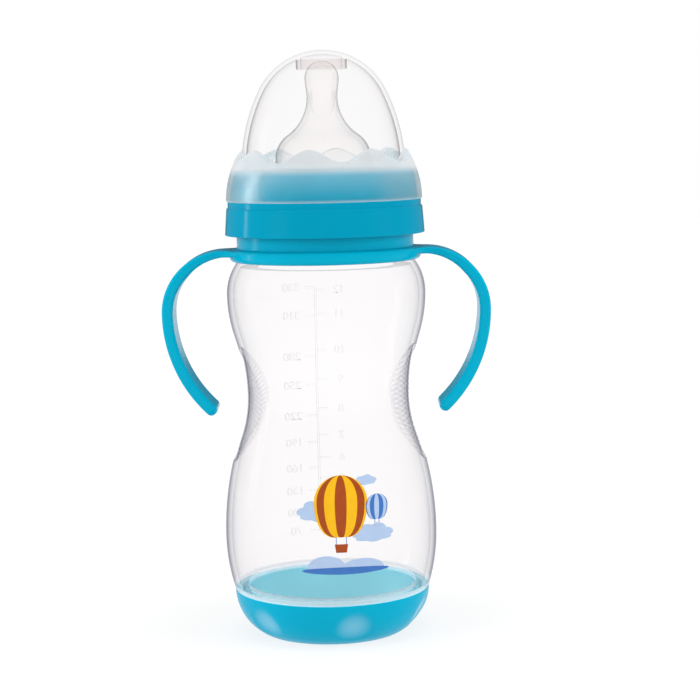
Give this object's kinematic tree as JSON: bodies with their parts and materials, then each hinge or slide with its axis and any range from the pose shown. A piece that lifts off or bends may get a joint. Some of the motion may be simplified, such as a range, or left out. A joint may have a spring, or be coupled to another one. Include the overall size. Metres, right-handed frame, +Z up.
{
  "type": "baby bottle",
  "caption": "Clear hourglass feeding bottle with a turning handle ring, screw collar, silicone teat, domed cover with a scalloped skirt and a pull-off base cup.",
  "frame": {"origin": "centre of the foot, on the surface that the bottle stands on", "axes": "+Z up the bottle's axis, -Y towards the printed front, X through the handle arms"},
  "size_m": [0.1172, 0.0764, 0.209],
  "materials": {
    "clear_plastic": "clear moulded gloss",
    "blue_plastic": "moulded gloss",
    "silicone": "clear satin silicone",
    "cover_plastic": "clear gloss dome with a frosted skirt"
  },
  "bodies": {
    "base": {"base_cup": "blue_plastic"},
    "bottle": {"bottle_body": "clear_plastic"},
    "handle": {"handle": "blue_plastic"},
    "teat": {"teat": "silicone"},
    "collar": {"screw_collar": "blue_plastic"},
    "cover": {"cover": "cover_plastic"}
  },
  "joints": [
    {"name": "bottle_lift", "type": "slide", "parent": "base", "child": "bottle", "axis": [0, 0, 1], "range_m": [0, 0.035]},
    {"name": "handle_turn", "type": "hinge", "parent": "bottle", "child": "handle", "pos_m": [0, 0, 0.1346], "axis": [0, 0, 1], "continuous": true},
    {"name": "teat_lift", "type": "slide", "parent": "bottle", "child": "teat", "axis": [0, 0, 1], "range_m": [0, 0.0088]},
    {"name": "collar_turn", "type": "hinge", "parent": "teat", "child": "collar", "pos_m": [0, 0, 0.155], "axis": [0, 0, 1], "range_deg": [0, 630]},
    {"name": "cover_pull", "type": "slide", "parent": "collar", "child": "cover", "axis": [0, 0, 1], "range_m": [0, 0.075]}
  ],
  "couplings": [
    {"joint": "teat_lift", "follows": "collar_turn", "m_per_rad": 0.00079577}
  ]
}
